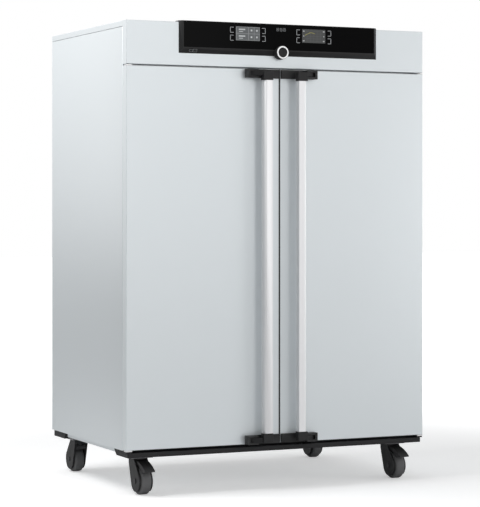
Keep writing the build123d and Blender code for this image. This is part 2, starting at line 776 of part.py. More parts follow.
cap_x_span = (bar_inner_x - end_lap, bar_inner_x + bar_width + end_lap)
cap_y_span = (handle_front_y, handle_front_y + bar_depth + end_lap)
with BuildPart() as handle_ends:
    for (low_z, high_z), bar_end_z in zip(bracket_spans, (bar_low_z, bar_high_z)):
        arm_low_z = low_z + pivot_cheek + seat_gap
        arm_high_z = high_z - pivot_cheek - seat_gap
        with BuildSketch(level(arm_low_z)):
            with Locations((pivot_x, pivot_y)):
                RegularPolygon(arm_boss_radius, 8)
            with Locations((cap_x_span[1] - arm_root_width / 2, cap_y_span[1] - arm_root_width / 2)):
                Rectangle(arm_root_width, arm_root_width)
            make_hull()
        extrude(amount=arm_high_z - arm_low_z)
        cap_low_z = min(bar_end_z, arm_low_z)
        cap_high_z = max(bar_end_z, arm_high_z)
        block(cap_x_span, cap_y_span, (cap_low_z, cap_high_z))
        with BuildSketch(level(arm_low_z)):
            with Locations((pivot_x, pivot_y)):
                Circle(pivot_pin_radius + fit_gap)
        extrude(amount=arm_high_z - arm_low_z, mode=Mode.SUBTRACT)
pieces["right_handle_ends"] = handle_ends

with BuildPart() as handle_bar:
    with BuildSketch(level(bar_low_z)) as bar_profile:
        with BuildLine():
            bar_front = Line((bar_inner_x, handle_front_y), (bar_inner_x + bar_flat, handle_front_y))
            bar_curve = ThreePointArc(
                bar_front @ 1,
                (bar_inner_x + (bar_flat + bar_width) / 2 + bar_bulge, handle_front_y + bar_drop - bar_bulge),
                (bar_inner_x + bar_width, handle_front_y + bar_depth * 0.6),
            )
            Polyline(
                bar_curve @ 1,
                (bar_inner_x + bar_width, handle_front_y + bar_depth),
                (bar_inner_x, handle_front_y + bar_depth),
                (bar_inner_x, handle_front_y),
            )
        make_face()
        offset(amount=-bar_wall, mode=Mode.SUBTRACT)
    extrude(amount=bar_high_z - bar_low_z)
pieces["right_handle_bar"] = handle_bar

for name in ("door_skin", "door_inner_panel", "door_insulation", "door_gasket", "door_hinges",
             "handle_brackets", "handle_ends", "handle_bar"):
    pieces["left_" + name] = mirrored(pieces["right_" + name])


# Casters
front_swivel_y = door_face_y + front_swivel_reach
rear_swivel_y = casing_rear_y - rear_swivel_reach
fork_top_z = caster_height - plate_thickness - seat_gap
fork_under_z = fork_top_z - fork_head_height
kingnut_top_z = fork_under_z - seat_gap
swivel_points = [(x, y) for x in (-caster_x, caster_x) for y in (front_swivel_y, rear_swivel_y)]

# Caster plates: bolted under the rails, each with a kingpin and its nut
with BuildPart() as caster_plates:
    with BuildSketch(level(caster_height)):
        with Locations(*swivel_points):
            Rectangle(plate_side, plate_side)
    extrude(amount=-plate_thickness)
    with BuildSketch(level(caster_height - plate_thickness)):
        with Locations(*swivel_points):
            Circle(kingpin_radius)
    extrude(amount=-(caster_height - plate_thickness - kingnut_top_z))
    with BuildSketch(level(kingnut_top_z)):
        with Locations(*swivel_points):
            RegularPolygon(kingnut_radius, 6)
    extrude(amount=-kingnut_height)
pieces["caster_plates"] = caster_plates


def caster_fork(centre_x, swivel_y, way, braked):
    """The fork with its axle. The wheel trails the swivel towards the front (way -1) or the rear (way 1)."""
    axle_y = swivel_y + way * wheel_trail
    with BuildPart() as fork:
        with BuildSketch(beside(centre_x - fork_width / 2)):
            with Locations((axle_y, wheel_radius)):
                Circle(fork_leg_radius)
            with Locations((swivel_y, (fork_under_z + fork_top_z) / 2)):
                Rectangle(2 * fork_head_reach, fork_head_height)
            make_hull()
        extrude(amount=fork_width)
        block((centre_x - fork_slot / 2, centre_x + fork_slot / 2),
              (axle_y - 2 * wheel_radius, axle_y + 2 * wheel_radius), (0, fork_under_z), Mode.SUBTRACT)
        if braked:
            open_y = (axle_y + way * 2 * wheel_radius, swivel_y + way * pedal_slot_reach)
            block((centre_x - fork_slot / 2, centre_x + fork_slot / 2), (min(open_y), max(open_y)),
                  (0, fork_top_z), Mode.SUBTRACT)
            with BuildSketch(beside(centre_x - fork_slot / 2)):
                with Locations((swivel_y + way * pedal_pin_reach, fork_top_z - pedal_pin_drop)):
                    Circle(pedal_pin_radius)
            extrude(amount=fork_slot)
        with BuildSketch(level(fork_top_z)):
            with Locations((centre_x, swivel_y)):
                Circle(kingpin_radius + fit_gap)
        extrude(amount=-fork_head_height, mode=Mode.SUBTRACT)
        with BuildSketch(beside(centre_x - fork_slot / 2)):
            with Locations((axle_y, wheel_radius)):
                Circle(axle_radius)
        extrude(amount=fork_slot)
        for start_x, length in ((centre_x - fork_width / 2, -axle_head), (centre_x + fork_width / 2, axle_head)):
            with BuildSketch(beside(start_x)):
                with Locations((axle_y, wheel_radius)):
                    RegularPolygon(axle_head_radius, 6)
            extrude(amount=length)
    return fork


def wheel_hub(centre_x, axle_y):
    """A moulded hub, bored for the axle, with flats round its rim that key it into the tyre."""
    with BuildPart() as hub:
        with BuildSketch(beside(centre_x - hub_width / 2)):
            with Locations((axle_y, wheel_radius)):
                RegularPolygon(hub_radius - fit_gap, hub_sides)
                Circle(axle_radius + fit_gap, mode=Mode.SUBTRACT)
        extrude(amount=hub_width)
    return hub


def wheel_tyre(centre_x, axle_y):
    """A grey rubber tyre moulded round the hub."""
    with BuildPart() as tyre:
        with BuildSketch(beside(centre_x - tyre_width / 2)):
            with Locations((axle_y, wheel_radius)):
                Circle(wheel_radius)
                RegularPolygon(hub_radius, hub_sides, mode=Mode.SUBTRACT)
        extrude(amount=tyre_width)
    return tyre


def brake_pedal(centre_x, swivel_y):
    """A beak over the front of the wheel, hung on a pin between the fork's legs."""
    pin_y = swivel_y - pedal_pin_reach
    pin_z = fork_top_z - pedal_pin_drop
    axle_y = swivel_y - wheel_trail
    tip = (swivel_y - pedal_tip_reach, fork_top_z - pedal_tip_drop)
    under_radius = wheel_radius + pedal_room
    under_points = [
        (axle_y - under_radius * math.cos(math.radians(a)), wheel_radius + under_radius * math.sin(math.radians(a)))
        for a in pedal_under_angles
    ]
    heel = (pin_y + 2 * pedal_pin_radius, pin_z - 2 * pedal_pin_radius)
    crown = (pin_y + 2 * pedal_pin_radius, pin_z + 4 * pedal_pin_radius)
    shoulder = ((crown[0] + tip[0]) / 2 - pedal_bow, (crown[1] + tip[1]) / 2 + pedal_bow)
    with BuildPart() as pedal:
        with BuildSketch(beside(centre_x - pedal_width / 2)):
            with BuildLine():
                ThreePointArc(crown, shoulder, tip)
                Polyline(tip, *under_points, heel, crown)
            make_face()
        extrude(amount=pedal_width)
        with BuildSketch(beside(centre_x - pedal_width / 2)):
            with Locations((pin_y, pin_z)):
                Circle(pedal_pin_radius + fit_gap)
        extrude(amount=pedal_width, mode=Mode.SUBTRACT)
    return pedal


for side_name, centre_x in (("left", -caster_x), ("right", caster_x)):
    for end_name, swivel_y, way in (("front", front_swivel_y, -1), ("rear", rear_swivel_y, 1)):
        place = f"{end_name}_{side_name}"
        pieces[f"{place}_fork"] = caster_fork(centre_x, swivel_y, way, end_name == "front")
        pieces[f"{place}_hub"] = wheel_hub(centre_x, swivel_y + way * wheel_trail)
        pieces[f"{place}_tyre"] = wheel_tyre(centre_x, swivel_y + way * wheel_trail)
    pieces[f"front_{side_name}_pedal"] = brake_pedal(centre_x, front_swivel_y)


# Control panel housing: bevelled at its sides and along its lower edge, with a flange over the lid
panel_top = cabinet_top + panel_rise
panel_front_y = door_face_y - panel_depth
panel_front_x = panel_width / 2 - panel_side_bevel
panel_front_low = panel_bottom + panel_low_bevel
glass_back_y = panel_front_y + glass_seat
glass_x = panel_front_x - glass_margin
glass_low = panel_front_low + glass_margin
glass_high = panel_top - glass_margin
bevel_plane = Plane(
    (0, door_face_y - panel_depth / 2, panel_bottom + panel_low_bevel / 2),
    x_dir=(1, 0, 0),
    z_dir=(0, -panel_low_bevel, -panel_depth),
)
with BuildPart() as panel_housing:
    for y, half_width, low in ((door_face_y, panel_width / 2, panel_bottom),
                               (panel_front_y, panel_front_x, panel_front_low)):
        with BuildSketch(facing(y)):
            with Locations((0, (low + panel_top) / 2)):
                Rectangle(2 * half_width, panel_top - low)
    loft()
    block((-panel_width / 2, panel_width / 2), (door_face_y, door_face_y + panel_top_flange),
          (cabinet_top, panel_top))
    block((-glass_x - fit_gap, glass_x + fit_gap), (panel_front_y, glass_back_y),
          (glass_low - fit_gap, glass_high + fit_gap), Mode.SUBTRACT)
    with BuildSketch(facing(door_face_y)):
        with Locations((0, knob_z)):
            Circle(shaft_radius + fit_gap)
    extrude(amount=panel_depth, mode=Mode.SUBTRACT)
    with BuildSketch(bevel_plane):
        with Locations((button_x, 0)):
            Rectangle(button_width + 2 * seat_gap, button_height + 2 * seat_gap)
    extrude(amount=-(button_seat + button_travel + seat_gap), mode=Mode.SUBTRACT)
    with BuildSketch(bevel_plane):
        with Locations((port_x, 0)):
            Rectangle(port_width, port_height)
    extrude(amount=-port_depth, mode=Mode.SUBTRACT)
pieces["panel_housing"] = panel_housing

with BuildPart() as panel_glass:
    block((-glass_x, glass_x), (glass_back_y - glass_thickness, glass_back_y), (glass_low, glass_high))
    with BuildSketch(facing(glass_back_y)):
        with Locations((0, knob_z)):
            Circle(shaft_radius + seat_gap)
        with Locations((-display_x, display_z), (display_x, display_z)):
            Rectangle(display_width + 2 * fit_gap, display_height + 2 * fit_gap)
    extrude(amount=glass_thickness, mode=Mode.SUBTRACT)
pieces["panel_glass"] = panel_glass

with BuildPart() as display_windows:
    with BuildSketch(facing(glass_back_y)):
        with Locations((-display_x, display_z), (display_x, display_z)):
            Rectangle(display_width, display_height)
    extrude(amount=display_thickness)
pieces["display_windows"] = display_windows

with BuildPart() as power_button:
    with BuildSketch(bevel_plane.offset(-button_seat)):
        with Locations((button_x, 0)):
            Rectangle(button_width, button_height)
    extrude(amount=button_seat + button_rise)
pieces["power_button"] = power_button


# Control knob on an encoder shaft that presses in
knob_face_y = door_face_y - knob_front
with BuildPart() as knob_shaft:
    with BuildSketch(facing(door_face_y + casing_sheet)):
        with Locations((0, knob_z)):
            Circle(shaft_radius)
    extrude(amount=casing_sheet + knob_front - end_lap)
pieces["knob_shaft"] = knob_shaft

with BuildPart() as control_knob:
    with BuildSketch(facing(knob_face_y + knob_length)):
        with Locations((0, knob_z)):
            Circle(knob_radius)
    extrude(amount=knob_length)
    with BuildSketch(facing(knob_face_y + knob_length)):
        with Locations((0, knob_z)):
            Circle(shaft_radius + fit_gap)
    extrude(amount=knob_length - end_lap + seat_gap, mode=Mode.SUBTRACT)
pieces["control_knob"] = control_knob


# Control board on four standoffs behind the fascia, with the encoder block behind the knob's shaft
board_y = door_face_y + casing_sheet + board_standoff
board_low = knob_z + encoder_side / 2 + wool_gap
with BuildPart() as control_board:
    block((-board_width / 2, board_width / 2), (board_y, board_y + board_thickness),
          (board_low, board_low + board_height))
    block((-encoder_side, encoder_side), (board_y, board_y + board_thickness),
          (knob_z - encoder_side, board_low))
    block((-encoder_side / 2, encoder_side / 2),
          (door_face_y + casing_sheet + knob_travel + seat_gap, board_y),
          (knob_z - encoder_side / 2, knob_z + encoder_side / 2))
    with BuildSketch(facing(board_y)):
        with Locations((0, board_low + board_height / 2)):
            with GridLocations(board_width - standoff_side, board_height - standoff_side, 2, 2):
                Rectangle(standoff_side, standoff_side)
    extrude(amount=board_standoff)
pieces["control_board"] = control_board


os.makedirs("parts", exist_ok=True)
for name, piece in pieces.items():
    piece.part.label = name
    export_step(piece.part, f"parts/{name}.step")
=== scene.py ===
import math

import bmesh
import bpy
from mathutils import Matrix, Vector


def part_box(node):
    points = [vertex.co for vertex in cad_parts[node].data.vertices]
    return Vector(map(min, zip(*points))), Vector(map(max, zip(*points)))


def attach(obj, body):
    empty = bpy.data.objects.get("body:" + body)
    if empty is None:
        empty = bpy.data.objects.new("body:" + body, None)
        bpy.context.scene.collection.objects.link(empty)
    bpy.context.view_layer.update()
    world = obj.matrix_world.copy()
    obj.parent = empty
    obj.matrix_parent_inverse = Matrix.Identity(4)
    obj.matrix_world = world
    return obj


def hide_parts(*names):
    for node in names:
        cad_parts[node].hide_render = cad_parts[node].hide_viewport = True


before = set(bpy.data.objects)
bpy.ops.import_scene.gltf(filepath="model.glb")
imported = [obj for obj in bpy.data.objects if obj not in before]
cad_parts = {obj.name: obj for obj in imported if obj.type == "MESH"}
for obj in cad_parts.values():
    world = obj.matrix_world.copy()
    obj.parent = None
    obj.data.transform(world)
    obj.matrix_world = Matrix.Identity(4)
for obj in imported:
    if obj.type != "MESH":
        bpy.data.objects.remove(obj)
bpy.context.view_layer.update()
bpy.ops.object.select_all(action="DESELECT")
mm = 0.001
scene = bpy.context.scene
scene.view_settings.view_transform = "Standard"


# The camera stands to the left of the doors at chest height and looks level, as the photographer did.
# Its long lens keeps the upright edges parallel, and its small shift frames the oven as in the picture.
bpy.ops.object.camera_add(
    location=(-3.2429, -6.9221, 1.0510),
    rotation=(math.radians(90), 0, math.radians(-24.3369)),
)
camera = bpy.context.object
camera.name = "view_camera"
camera.data.sensor_width = 36
camera.data.lens = 139.62
camera.data.shift_x = 0.0613
camera.data.shift_y = -0.0965
scene.camera = camera


# The studio: a white room, a pale floor that keeps the oven's soft shadow, and three softboxes.
# The room is white to the eye and in reflections, and gives a plainer grey light to matt surfaces.
# The lamps stand high on the left, in front, and low on the right.
room_light = 0.31
world = bpy.data.worlds.new("white_studio")
scene.world = world
world.use_nodes = True
nodes, links = world.node_tree.nodes, world.node_tree.links
seen = nodes["Background"]
seen.inputs["Color"].default_value = (1, 1, 1, 1)
lighting = nodes.new("ShaderNodeBackground")
lighting.inputs["Color"].default_value = (0.97, 0.985, 1, 1)
lighting.inputs["Strength"].default_value = room_light
ray = nodes.new("ShaderNodeLightPath")
mirror_or_glass = nodes.new("ShaderNodeMath")
mirror_or_glass.operation = "MAXIMUM"
links.new(ray.outputs["Is Glossy Ray"], mirror_or_glass.inputs[0])
links.new(ray.outputs["Is Transmission Ray"], mirror_or_glass.inputs[1])
any_seen = nodes.new("ShaderNodeMath")
any_seen.operation = "MAXIMUM"
links.new(ray.outputs["Is Camera Ray"], any_seen.inputs[0])
links.new(mirror_or_glass.outputs[0], any_seen.inputs[1])
choice = nodes.new("ShaderNodeMixShader")
links.new(any_seen.outputs[0], choice.inputs["Fac"])
links.new(lighting.outputs[0], choice.inputs[1])
links.new(seen.outputs[0], choice.inputs[2])
links.new(choice.outputs[0], nodes["World Output"].inputs["Surface"])


shadow_lift = 0.40
fade_start = 1.2
fade_end = 3.6


def floor_material():
    """Pale seamless paper. The eye sees it lighter than it is, and as white as the room further off."""
    material = bpy.data.materials.new("studio_paper")
    material.use_nodes = True
    nodes, links = material.node_tree.nodes, material.node_tree.links
    shader = nodes["Principled BSDF"]
    shader.inputs["Base Color"].default_value = (0.90, 0.90, 0.90, 1)
    shader.inputs["Roughness"].default_value = 0.9
    lift = nodes.new("ShaderNodeEmission")
    lift.inputs["Color"].default_value = (1, 1, 1, 1)
    ray = nodes.new("ShaderNodeLightPath")
    place = nodes.new("ShaderNodeTexCoord")
    away = nodes.new("ShaderNodeVectorMath")
    away.operation = "LENGTH"
    links.new(place.outputs["Object"], away.inputs[0])
    fade = nodes.new("ShaderNodeMapRange")
    fade.interpolation_type = "SMOOTHSTEP"
    fade.inputs["From Min"].default_value = fade_start
    fade.inputs["From Max"].default_value = fade_end
    fade.inputs["To Min"].default_value = shadow_lift
    fade.inputs["To Max"].default_value = 1.0
    links.new(away.outputs["Value"], fade.inputs["Value"])
    amount = nodes.new("ShaderNodeMath")
    amount.operation = "MULTIPLY"
    links.new(ray.outputs["Is Camera Ray"], amount.inputs[0])
    links.new(fade.outputs[0], amount.inputs[1])
    links.new(amount.outputs[0], lift.inputs["Strength"])
    total = nodes.new("ShaderNodeAddShader")
    links.new(shader.outputs[0], total.inputs[0])
    links.new(lift.outputs[0], total.inputs[1])
    links.new(total.outputs[0], nodes["Material Output"].inputs["Surface"])
    return material


bpy.ops.mesh.primitive_plane_add(size=60, location=(0, 0, 0))
floor = bpy.context.object
floor.name = "studio_floor"
floor.data.materials.append(floor_material())


def soft_lamp(name, place, target, size, power):
    """A square softbox that points at its target."""
    data = bpy.data.lights.new(name, "AREA")
    data.shape = "SQUARE"
    data.size = size
    data.energy = power
    lamp = bpy.data.objects.new(name, data)
    scene.collection.objects.link(lamp)
    lamp.location = place
    lamp.rotation_euler = (Vector(target) - Vector(place)).to_track_quat("-Z", "Y").to_euler()
    return lamp


soft_lamp("left_softbox", (-2.1, -0.1, 3.1), (-0.6, 0.0, 1.7), 1.4, 59)
soft_lamp("front_softbox", (0.8, -7.0, 2.4), (0.1, -0.4, 1.0), 4.0, 55)
soft_lamp("right_softbox", (4.2, -3.2, 1.1), (0.4, -0.4, 0.8), 2.0, 42)


# Casing sheets: folded panels of textured stainless steel, one on each side, a lid and the fascia.
# Each is cut flat, bent round a 3 mm tool and hung on the frame, so thin dark lines part them.
def select_only(piece):
    """Makes one piece active and alone in the selection."""
    bpy.ops.object.select_all(action="DESELECT")
    piece.select_set(True)
    bpy.context.view_layer.objects.active = piece


def block(name, low, high):
    """A box between two corners, with its place in its mesh."""
    low, high = Vector(low), Vector(high)
    bpy.ops.object.select_all(action="DESELECT")
    bpy.ops.mesh.primitive_cube_add(size=1, location=(low + high) / 2)
    piece = bpy.context.object
    piece.scale = high - low
    bpy.ops.object.transform_apply(location=True, rotation=True, scale=True)
    piece.name = name
    return piece


def drawn(name, outline, along):
    """A solid drawn out of a closed outline of points along a vector."""
    mesh = bpy.data.meshes.new(name)
    mesh.from_pydata([Vector(point) for point in outline], [], [list(range(len(outline)))])
    piece = bpy.data.objects.new(name, mesh)
    scene.collection.objects.link(piece)
    select_only(piece)
    bpy.ops.object.mode_set(mode="EDIT")
    bpy.ops.mesh.select_all(action="SELECT")
    bpy.ops.mesh.extrude_region_move(TRANSFORM_OT_translate={"value": along})
    bpy.ops.mesh.select_all(action="SELECT")
    bpy.ops.mesh.normals_make_consistent(inside=False)
    bpy.ops.object.mode_set(mode="OBJECT")
    return piece


def bevel_where(piece, chosen, radius, steps=4):
    """Rounds the edges whose middle and direction pass the test."""
    select_only(piece)
    bpy.ops.object.mode_set(mode="EDIT")
    bpy.ops.mesh.select_mode(type="EDGE")
    bpy.ops.mesh.select_all(action="DESELECT")
    mesh = bmesh.from_edit_mesh(piece.data)
    for edge in mesh.edges:
        start, end = (corner.co for corner in edge.verts)
        edge.select_set(chosen((start + end) / 2, (end - start).normalized()))
    bmesh.update_edit_mesh(piece.data)
    bpy.ops.mesh.bevel(offset=radius, segments=steps, affect="EDGES")
    bpy.ops.object.mode_set(mode="OBJECT")


def hollow(piece, way, wall):
    """Opens a box on the side that faces the given way and leaves walls of one sheet."""
    way = Vector(way)
    reaches = [corner.co @ way for corner in piece.data.vertices]
    select_only(piece)
    bpy.ops.object.mode_set(mode="EDIT")
    bpy.ops.mesh.select_mode(type="FACE")
    bpy.ops.mesh.select_all(action="DESELECT")
    mesh = bmesh.from_edit_mesh(piece.data)
    for face in mesh.faces:
        face.select_set(face.normal @ way > 0.999 and face.calc_center_median() @ way > max(reaches) - 1e-5)
    bmesh.update_edit_mesh(piece.data)
    bpy.ops.mesh.inset(thickness=wall)
    depth = max(reaches) - min(reaches) - wall
    bpy.ops.mesh.extrude_region_move(TRANSFORM_OT_translate={"value": -way * depth})
    bpy.ops.object.mode_set(mode="OBJECT")


def soften(piece, width, steps=2, angle=35):
    """Takes the sharpness off every edge, as a press, a mould or a file does. The roundings are shaded
    smooth, and the flat faces between them stay flat."""
    select_only(piece)
    bpy.ops.object.modifier_add(type="BEVEL")
    bevel = piece.modifiers[-1]
    bevel.width = width
    bevel.segments = steps
    bevel.limit_method = "ANGLE"
    bevel.angle_limit = math.radians(angle)
    bpy.ops.object.modifier_apply(modifier=bevel.name)
    bpy.ops.object.shade_smooth_by_angle(angle=math.radians(angle))
    bpy.ops.object.modifier_add(type="WEIGHTED_NORMAL")
    flat = piece.modifiers[-1]
    flat.keep_sharp = True
    bpy.ops.object.modifier_apply(modifier=flat.name)


def mirror_left(piece, name):
    """The same piece on the left of the oven, as a mesh of its own with its faces turned outwards."""
    twin = bpy.data.objects.new(name, piece.data.copy())
    scene.collection.objects.link(twin)
    twin.data.transform(Matrix.Scale(-1, 4, (1, 0, 0)))
    twin.data.flip_normals()
    return twin


def new_group(name, inputs, outputs):
    """An empty shader group with float, colour or vector sockets. Returns it with its two end nodes."""
    group = bpy.data.node_groups.new(name, "ShaderNodeTree")
    for in_out, sockets in (("INPUT", inputs), ("OUTPUT", outputs)):
        for socket, kind in sockets:
            group.interface.new_socket(name=socket, in_out=in_out, socket_type="NodeSocket" + kind)
    return group, group.nodes.new("NodeGroupInput"), group.nodes.new("NodeGroupOutput")


def build_grain_group():
    """Fine grain of a textured or moulded surface: a height for the bump and a roughness that follows it."""
    group, given, result = new_group(
        "fine_grain",
        [("Scale", "Float"), ("Roughness", "Float"), ("Spread", "Float")],
        [("Height", "Float"), ("Roughness", "Float")],
    )
    nodes, links = group.nodes, group.links
    place = nodes.new("ShaderNodeTexCoord")
    grain = nodes.new("ShaderNodeTexNoise")
    grain.inputs["Detail"].default_value = 3
    grain.inputs["Roughness"].default_value = 0.6
    links.new(place.outputs["Object"], grain.inputs["Vector"])
    links.new(given.outputs["Scale"], grain.inputs["Scale"])
    centred = nodes.new("ShaderNodeMath")
    centred.operation = "SUBTRACT"
    centred.inputs[1].default_value = 0.5
    links.new(grain.outputs["Fac"], centred.inputs[0])
    spread = nodes.new("ShaderNodeMath")
    spread.operation = "MULTIPLY_ADD"
    links.new(centred.outputs[0], spread.inputs[0])
    links.new(given.outputs["Spread"], spread.inputs[1])
    links.new(given.outputs["Roughness"], spread.inputs[2])
    links.new(grain.outputs["Fac"], result.inputs["Height"])
    links.new(spread.outputs[0], result.inputs["Roughness"])
    return group


def build_drift_group():
    """Slow change of tone over a surface, with a painted highlight that makes its convex edges lighter."""
    group, given, result = new_group(
        "tone_drift_and_edge_highlight",
        [("Colour", "Color"), ("Second", "Color"), ("Scale", "Float"), ("Edge highlight", "Float")],
        [("Colour", "Color")],
    )
    nodes, links = group.nodes, group.links
    place = nodes.new("ShaderNodeTexCoord")
    cloud = nodes.new("ShaderNodeTexNoise")
    cloud.inputs["Detail"].default_value = 4
    links.new(place.outputs["Object"], cloud.inputs["Vector"])
    links.new(given.outputs["Scale"], cloud.inputs["Scale"])
    blend = nodes.new("ShaderNodeMix")
    blend.data_type = "RGBA"
    links.new(cloud.outputs["Fac"], blend.inputs["Factor"])
    links.new(given.outputs["Colour"], blend.inputs[6])
    links.new(given.outputs["Second"], blend.inputs[7])
    geometry = nodes.new("ShaderNodeNewGeometry")
    # Convex edges are mixed towards white: a painted highlight.
    ridge = nodes.new("ShaderNodeMapRange")
    ridge.inputs["From Min"].default_value = 0.52
    ridge.inputs["From Max"].default_value = 0.62
    links.new(geometry.outputs["Pointiness"], ridge.inputs["Value"])
    edge_highlight_amount = nodes.new("ShaderNodeMath")
    edge_highlight_amount.operation = "MULTIPLY"
    links.new(ridge.outputs[0], edge_highlight_amount.inputs[0])
    links.new(given.outputs["Edge highlight"], edge_highlight_amount.inputs[1])
    lighter = nodes.new("ShaderNodeMix")
    lighter.data_type = "RGBA"
    lighter.inputs[7].default_value = (1, 1, 1, 1)
    links.new(edge_highlight_amount.outputs[0], lighter.inputs["Factor"])
    links.new(blend.outputs[2], lighter.inputs[6])
    links.new(lighter.outputs[2], result.inputs["Colour"])
    return group


grain_group = build_grain_group()
drift_group = build_drift_group()


def placed_group(material, group, values):
    """One of the shared groups inside a material, with this material's own values."""
    node = material.node_tree.nodes.new("ShaderNodeGroup")
    node.node_tree = group
    for socket, value in values.items():
        node.inputs[socket].default_value = value
    return node


def surface(name, colour, second, metallic, roughness, grain, depth, spread=0.1, drift=3.0, painted_edge_highlight=0.0,
            shine=0.5):
    """A material with slow tone drift and fine grain: grain is per metre, depth is the bump in metres."""
    material = bpy.data.materials.new(name)
    material.use_nodes = True
    nodes, links = material.node_tree.nodes, material.node_tree.links
    shader = nodes["Principled BSDF"]
    shader.inputs["Metallic"].default_value = metallic
    shader.inputs["Specular IOR Level"].default_value = shine
    # The drift group also makes convex edges lighter: a painted highlight.
    tone = placed_group(material, drift_group,
                        {"Colour": (*colour, 1), "Second": (*second, 1), "Scale": drift, "Edge highlight": painted_edge_highlight})
    fine = placed_group(material, grain_group, {"Scale": grain, "Roughness": roughness, "Spread": spread})
    links.new(tone.outputs["Colour"], shader.inputs["Base Color"])
    links.new(fine.outputs["Roughness"], shader.inputs["Roughness"])
    bump = nodes.new("ShaderNodeBump")
    bump.inputs["Distance"].default_value = depth
    links.new(fine.outputs["Height"], bump.inputs["Height"])
    links.new(bump.outputs["Normal"], shader.inputs["Normal"])
    return material


textured_steel = surface("textured_stainless", (0.72, 0.76, 0.78), (0.70, 0.74, 0.76), 0.5, 0.36,
                         grain=900, depth=0.00006, spread=0.12, drift=1.5)


def fitted(piece, material, body, slot, *replaced):
    """Gives a finished piece its material, the body it rides on and the CAD nodes it stands for. The slot is
    not used.
    """
    piece.data.materials.clear()
    piece.data.materials.append(material)
    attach(piece, body)
    if replaced:
        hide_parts(*replaced)
    return piece


sheet = 1.5 * mm
bend = 3 * mm
seam = 0.6 * mm
side_low, side_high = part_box("side_panel_right")
flange = 20 * mm
panel_top = side_high.z - seam
side_outline = [
    (side_high.x - flange, side_low.y, side_low.z),
    (side_high.x, side_low.y, side_low.z),
    (side_high.x, side_high.y, side_low.z),
    (side_high.x - flange, side_high.y, side_low.z),
    (side_high.x - flange, side_high.y - sheet, side_low.z),
    (side_high.x - sheet, side_high.y - sheet, side_low.z),
    (side_high.x - sheet, side_low.y + sheet, side_low.z),
    (side_high.x - flange, side_low.y + sheet, side_low.z),
]
right_side = drawn("right_side_panel", side_outline, (0, 0, panel_top - side_low.z))
bevel_where(right_side, lambda middle, way: abs(way.z) > 0.9 and middle.x > side_high.x - 1e-5, bend, 5)
soften(right_side, 0.4 * mm)
left_side = mirror_left(right_side, "left_side_panel")
fitted(right_side, textured_steel, "root", "outer_steel", "side_panel_right")
fitted(left_side, textured_steel, "root", "outer_steel", "side_panel_left")

lid_low, lid_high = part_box("top_lid")
fascia_low, fascia_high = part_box("fascia")
lid = block("lid_tray", (lid_low.x, fascia_high.y + seam, lid_low.z + seam), lid_high)
bevel_where(lid, lambda middle, way: middle.z > lid_high.z - 1e-5 or abs(way.z) > 0.9, 2 * mm, 4)
hollow(lid, (0, 0, -1), sheet)
soften(lid, 0.3 * mm)
fitted(lid, textured_steel, "root", "outer_steel", "top_lid")

front = block("fascia_panel", fascia_low, fascia_high)
bevel_where(front, lambda middle, way: middle.y < fascia_low.y + 1e-5, 2.5 * mm, 5)
hollow(front, (0, 1, 0), sheet)
soften(front, 0.3 * mm)
fitted(front, textured_steel, "root", "outer_steel", "fascia")


# Rear panel: a flat sheet screwed between the side flanges, with two rows of cooling slots.
# The front frame is satin steel, and the base pan is textured sheet with a channel down each side.
def dressed(node, name, edge, steps=2, whole=True):
    """A copy of a CAD node with its sharp edges taken off. Its triangles become whole faces,
    but not on a piece whose flat rim goes all round an opening."""
    piece = bpy.data.objects.new(name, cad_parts[node].data.copy())
    scene.collection.objects.link(piece)
    select_only(piece)
    bpy.ops.mesh.customdata_custom_splitnormals_clear()
    bpy.ops.object.mode_set(mode="EDIT")
    bpy.ops.mesh.select_all(action="SELECT")
    bpy.ops.mesh.remove_doubles(threshold=1e-5)
    if whole:
        bpy.ops.mesh.dissolve_limited(angle_limit=math.radians(0.5))
    bpy.ops.object.mode_set(mode="OBJECT")
    soften(piece, edge, steps)
    return piece


def turned(name, profile, centre, axis, steps=48, closed=False):
    """A shape turned about an axis. Its profile is a list of radius and place along the axis."""
    axis = Vector(axis)
    arm = Vector((0, 0, 1)) if abs(axis.z) < 0.5 else Vector((1, 0, 0))
    points = [Vector(centre) + arm * radius + axis * reach for radius, reach in profile]
    count = len(points)
    joins = [(i, (i + 1) % count) for i in range(count if closed else count - 1)]
    mesh = bpy.data.meshes.new(name)
    mesh.from_pydata(points, joins, [])
    piece = bpy.data.objects.new(name, mesh)
    scene.collection.objects.link(piece)
    select_only(piece)
    bpy.ops.object.mode_set(mode="EDIT")
    bpy.ops.mesh.select_all(action="SELECT")
    bpy.ops.mesh.spin(steps=steps, angle=2 * math.pi, center=centre, axis=axis)
    bpy.ops.mesh.select_all(action="SELECT")
    bpy.ops.mesh.remove_doubles(threshold=1e-6)
    bpy.ops.mesh.normals_make_consistent(inside=False)
    bpy.ops.object.mode_set(mode="OBJECT")
    bpy.ops.object.shade_smooth_by_angle(angle=math.radians(35))
    return piece


def joined(name, parts):
    """One piece made of several closed shells."""
    bpy.ops.object.select_all(action="DESELECT")
    for part in parts:
        part.select_set(True)
    bpy.context.view_layer.objects.active = parts[0]
    if len(parts) > 1:
        bpy.ops.object.join()
    parts[0].name = name
    return parts[0]


def screws(name, places, axis, radius):
    """Pan-head screws with a round socket: one head is turned, and each screw is a copy of it."""
    rise = radius * 0.55
    head = turned(name, [(0, 0), (radius, 0), (radius, rise * 0.4), (radius * 0.86, rise * 0.8),
                         (radius * 0.6, rise), (radius * 0.42, rise), (radius * 0.36, rise * 0.3),
                         (0, rise * 0.3)], (0, 0, 0), axis, 24)
    heads = []
    for place in places:
        copy = bpy.data.objects.new(name, head.data.copy())
        scene.collection.objects.link(copy)
        copy.data.transform(Matrix.Translation(place))
        heads.append(copy)
    bpy.data.objects.remove(head)
    return joined(name, heads)


bright_steel = surface("bright_steel", (0.78, 0.78, 0.78), (0.70, 0.70, 0.71), 1.0, 0.28,
                       grain=1400, depth=0.00002, spread=0.15, drift=20)

